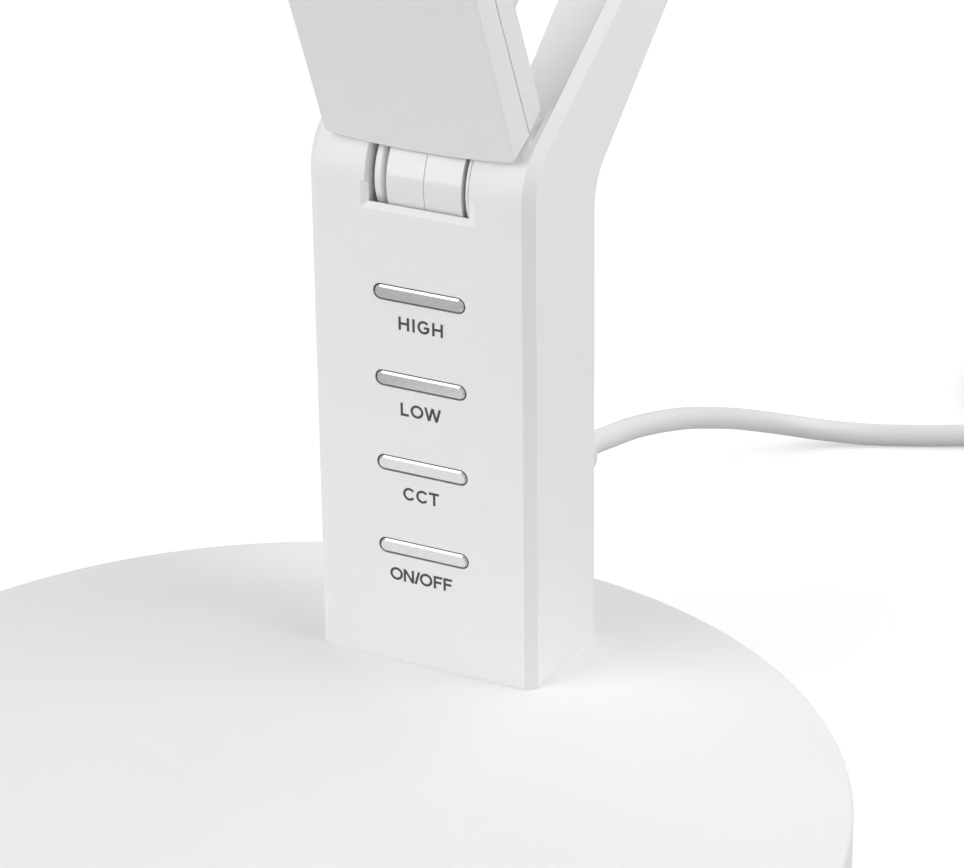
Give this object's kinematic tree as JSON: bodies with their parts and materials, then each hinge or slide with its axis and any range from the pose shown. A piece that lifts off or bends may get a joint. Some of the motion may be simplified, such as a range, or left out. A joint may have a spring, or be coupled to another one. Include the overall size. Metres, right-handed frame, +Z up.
{
  "type": "folding LED desk lamp",
  "caption": "Folding desk lamp with a round weighted base, a button column, a leaning cradle, a hinged arm and a folding LED head.",
  "frame": {"origin": "on the desk, under the centre of the round base", "axes": "+Z up; the buttons and the light face -Y; +X to the right as seen from the front"},
  "size_m": [0.3365, 0.5776, 0.3461],
  "materials": {
    "shell_white": "fine matte moulded ABS",
    "gloss_white": "polished moulded POM",
    "black_steel": "blackened steel disc",
    "steel": "zinc plated steel",
    "cap_metal": "brushed aluminium, clear anodised",
    "brass": "nickel plated brass",
    "rubber": "soft rubber",
    "lead_white": "flexible PVC jacket",
    "black_plastic": "plain black plastic",
    "board": "glass-fibre circuit board, white on the LED side",
    "diffuser": "opal acrylic",
    "led_body": "white package with phosphor"
  },
  "bodies": {
    "stand": {"base_cover": "shell_white", "base_weight": "black_steel", "base_plate": "steel", "base_pad": "rubber", "base_screws": "steel", "column_shell": "shell_white", "column_screws": "steel", "rear_cover": "shell_white", "rear_cover_screws": "steel", "control_board": "board", "tact_switches": "black_plastic", "board_screws": "steel", "hinge_bracket": "steel", "bracket_screws": "steel", "hinge_pin": "steel", "hinge_collar": "gloss_white", "spring_washers": "steel", "wear_washer": "gloss_white", "strain_relief": "lead_white", "lead_run": "lead_white", "lead_coil": "lead_white", "lead_tail": "lead_white", "lead_tie": "black_plastic", "adapter_body": "shell_white", "adapter_blades": "brass"},
    "arm": {"arm_front_shell": "shell_white", "arm_rear_shell": "shell_white", "hinge_leaf": "steel", "arm_screws": "steel", "arm_cable": "black_plastic", "head_pin": "steel", "head_washers": "steel"},
    "head": {"head_top_shell": "shell_white", "head_bezel": "shell_white", "diffuser": "diffuser", "led_board": "board", "leds": "led_body", "heat_spreader": "cap_metal", "head_screws": "steel"},
    "high_button_cap": {"high_button": "cap_metal"},
    "low_button_cap": {"low_button": "cap_metal"},
    "cct_button_cap": {"cct_button": "cap_metal"},
    "on_off_button_cap": {"on_off_button": "cap_metal"}
  },
  "joints": [
    {"name": "arm_hinge", "type": "hinge", "parent": "stand", "child": "arm", "pos_m": [0, 0.069, 0.1224], "axis": [1, 0, 0], "range_deg": [-75, 50]},
    {"name": "head_hinge", "type": "hinge", "parent": "arm", "child": "head", "pos_m": [0, -0.03529, 0.33868], "axis": [1, 0, 0], "range_deg": [-66, 114]},
    {"name": "high_button", "type": "slide", "parent": "stand", "child": "high_button_cap", "axis": [0, 1, 0], "range_m": [0, 0.0005], "stiffness_N_per_m": 600, "springref_m": -0.0005},
    {"name": "low_button", "type": "slide", "parent": "stand", "child": "low_button_cap", "axis": [0, 1, 0], "range_m": [0, 0.0005], "stiffness_N_per_m": 600, "springref_m": -0.0005},
    {"name": "cct_button", "type": "slide", "parent": "stand", "child": "cct_button_cap", "axis": [0, 1, 0], "range_m": [0, 0.0005], "stiffness_N_per_m": 600, "springref_m": -0.0005},
    {"name": "on_off_button", "type": "slide", "parent": "stand", "child": "on_off_button_cap", "axis": [0, 1, 0], "range_m": [0, 0.0005], "stiffness_N_per_m": 600, "springref_m": -0.0005}
  ]
}
